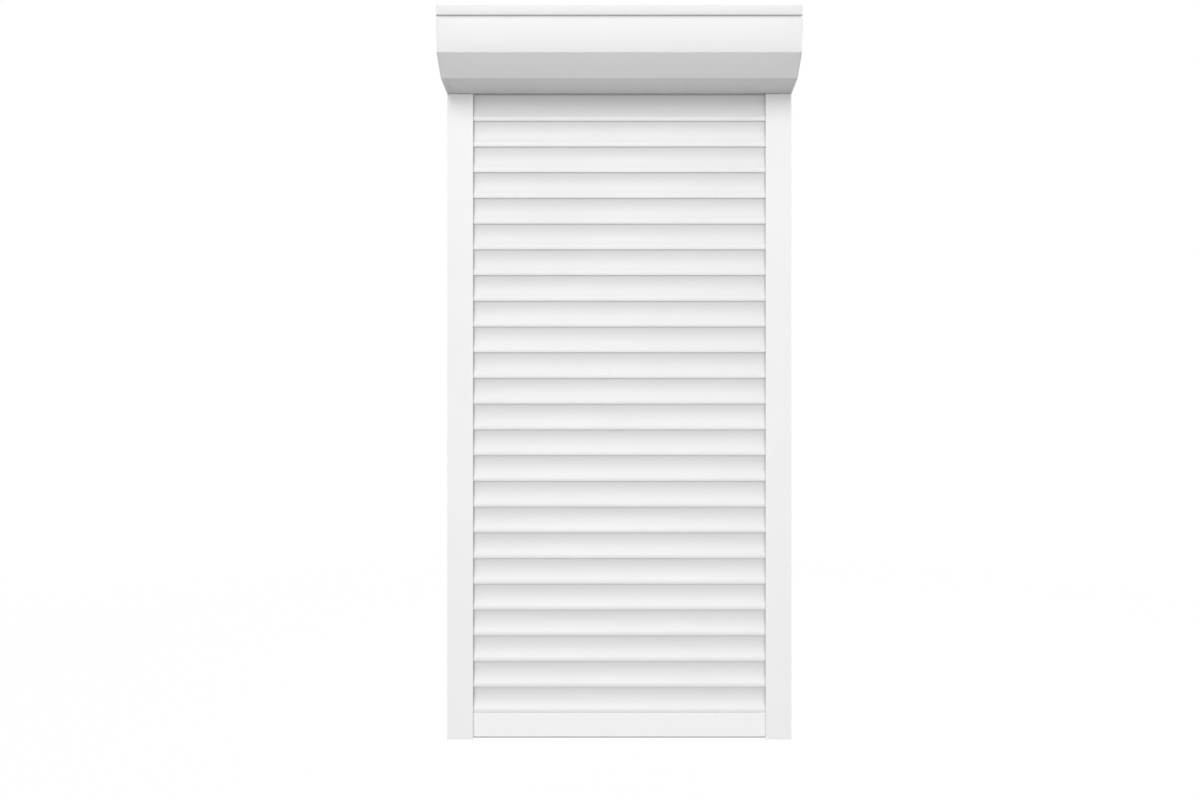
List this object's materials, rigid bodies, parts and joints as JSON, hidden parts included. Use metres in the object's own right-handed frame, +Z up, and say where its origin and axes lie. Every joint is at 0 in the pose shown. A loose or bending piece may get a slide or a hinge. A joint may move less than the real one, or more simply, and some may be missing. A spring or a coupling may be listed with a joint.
{
  "type": "exterior roller shutter",
  "caption": "White exterior roller shutter: hollow interlocking slats in two side guides, wound on a motor-driven axle in a folded sheet box above.",
  "frame": {"origin": "centre of the footprint at sill level; the wall plane is at y = +0.0825 m", "axes": "+X across the shutter to the right seen from outside, +Y towards the wall, +Z up"},
  "size_m": [0.8, 0.1648, 1.6512],
  "materials": {
    "white_paint": "white powder coat, satin",
    "brush": "grey pile",
    "grey_plastic": "moulded, matt",
    "zinc_screw": "zinc plated",
    "galvanised_steel": "galvanised",
    "bearing_steel": "ground",
    "motor_case": "drawn tube",
    "spring_steel": "blued",
    "seal_rubber": "matt black"
  },
  "bodies": {
    "frame": {"guide_left": "white_paint", "guide_right": "white_paint", "guide_brush_left": "brush", "guide_brush_right": "brush", "guide_inlet_left": "grey_plastic", "guide_inlet_right": "grey_plastic", "guide_foot_left": "white_paint", "guide_foot_right": "white_paint", "side_cap_left": "white_paint", "side_cap_right": "white_paint", "box_rear_sheet": "white_paint", "box_top_sheet": "white_paint", "box_front_panel": "white_paint", "panel_screws": "zinc_screw", "top_rivets": "zinc_screw", "bearing_outer_ring": "bearing_steel", "motor_bracket": "galvanised_steel", "bracket_screws": "zinc_screw", "motor_head": "grey_plastic", "motor_tube": "motor_case"},
    "curtain": {"slat_01": "white_paint", "slat_02": "white_paint", "slat_03": "white_paint", "slat_04": "white_paint", "slat_05": "white_paint", "slat_06": "white_paint", "slat_07": "white_paint", "slat_08": "white_paint", "slat_09": "white_paint", "slat_10": "white_paint", "slat_11": "white_paint", "slat_12": "white_paint", "slat_13": "white_paint", "slat_14": "white_paint", "slat_15": "white_paint", "slat_16": "white_paint", "slat_17": "white_paint", "slat_18": "white_paint", "slat_19": "white_paint", "slat_20": "white_paint", "slat_21": "white_paint", "slat_22": "white_paint", "slat_23": "white_paint", "slat_24": "white_paint", "slat_end_locks": "grey_plastic", "end_slat": "white_paint", "end_slat_plugs": "grey_plastic", "end_seal": "seal_rubber", "strap_left": "spring_steel", "strap_right": "spring_steel"},
    "axle": {"axle_tube": "galvanised_steel", "axle_end_plug": "grey_plastic", "axle_pin": "bearing_steel", "bearing_inner_ring": "bearing_steel", "motor_shaft": "bearing_steel", "drive_wheel": "grey_plastic", "crown_wheel": "grey_plastic"},
    "ball_set": {"bearing_balls": "bearing_steel"}
  },
  "joints": [
    {"name": "curtain_lift", "type": "slide", "parent": "frame", "child": "curtain", "axis": [0, 0, 1], "range_m": [0, 1.44], "deforming": ["slat_01", "slat_02", "slat_03", "slat_04", "slat_05", "slat_06", "slat_07", "slat_08", "slat_09", "slat_10", "slat_11", "slat_12", "slat_13", "slat_14", "slat_15", "slat_16", "slat_17", "slat_18", "slat_19", "slat_20", "slat_21", "slat_22", "slat_23", "slat_24", "slat_end_locks", "strap_left", "strap_right"]},
    {"name": "axle_turn", "type": "hinge", "parent": "frame", "child": "axle", "pos_m": [0, 0, 1.575], "axis": [1, 0, 0], "range_deg": [0, 1801]},
    {"name": "ball_orbit", "type": "hinge", "parent": "frame", "child": "ball_set", "pos_m": [0, 0, 1.575], "axis": [1, 0, 0], "range_deg": [0, 721]}
  ],
  "couplings": [
    {"joint": "axle_turn", "follows": "curtain_lift", "rad_per_m": 21.817},
    {"joint": "ball_orbit", "follows": "curtain_lift", "rad_per_m": 8.7266}
  ]
}
